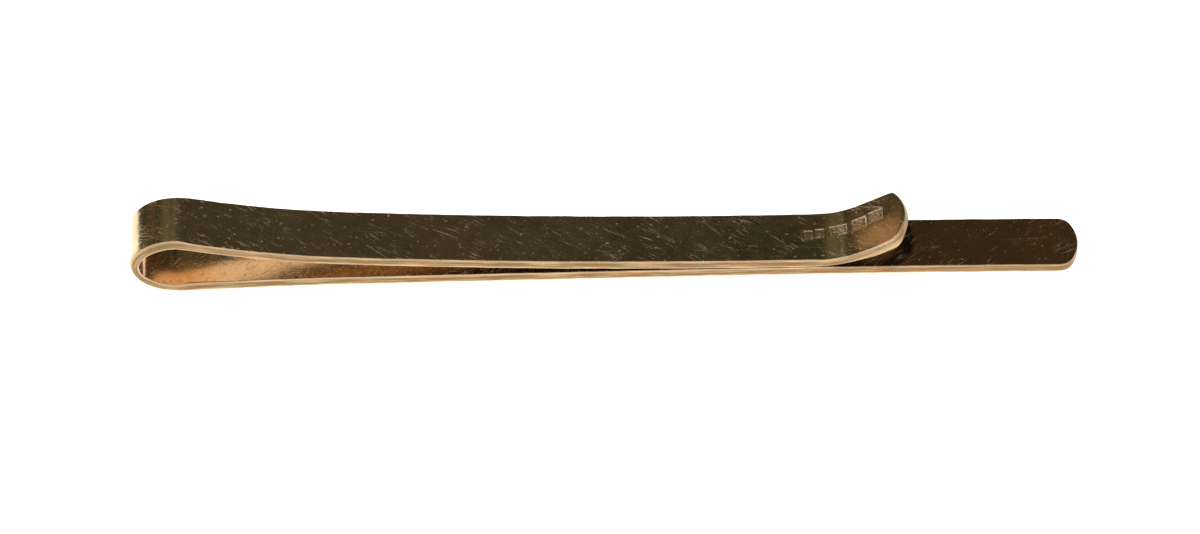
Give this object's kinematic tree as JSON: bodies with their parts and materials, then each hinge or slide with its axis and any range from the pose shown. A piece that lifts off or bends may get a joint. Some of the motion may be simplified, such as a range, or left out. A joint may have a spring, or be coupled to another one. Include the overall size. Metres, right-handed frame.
{
  "type": "tie slide",
  "caption": "Tie slide folded from one narrow gold strip: a long bar with a rounded tip, a teardrop spring bend, and a short gripping tongue with a turned-up lip.",
  "frame": {"origin": "centre of the bounding box in X and Y, at the surface that the slide lies on, show face down", "axes": "+X along the strip from the bend to the tip, +Y across the strip, +Z from the show face towards the tongue"},
  "size_m": [0.057, 0.0042, 0.004],
  "materials": {
    "gold_strip": "polished rose gold, worn with fine scratches"
  },
  "bodies": {
    "bar": {"long_leaf": "gold_strip", "lower_arm": "gold_strip", "return_bend": "gold_strip"},
    "shoulder": {"upper_arm": "gold_strip"},
    "tongue": {"clip_tongue": "gold_strip", "flared_lip": "gold_strip"}
  },
  "joints": [
    {"name": "bend_flex", "type": "hinge", "parent": "bar", "child": "shoulder", "pos_m": [-0.02695, 0, 0.002], "axis": [0, -1, 0], "range_deg": [0, 3], "stiffness_Nm_per_rad": 0.36, "springref_deg": -2.01, "deforming": ["return_bend"]},
    {"name": "tongue_flex", "type": "hinge", "parent": "shoulder", "child": "tongue", "pos_m": [-0.01572, 0, 0.00246], "axis": [0, -1, 0], "range_deg": [0, 1.8]}
  ],
  "couplings": [
    {"joint": "tongue_flex", "follows": "bend_flex", "ratio": 0.6}
  ]
}
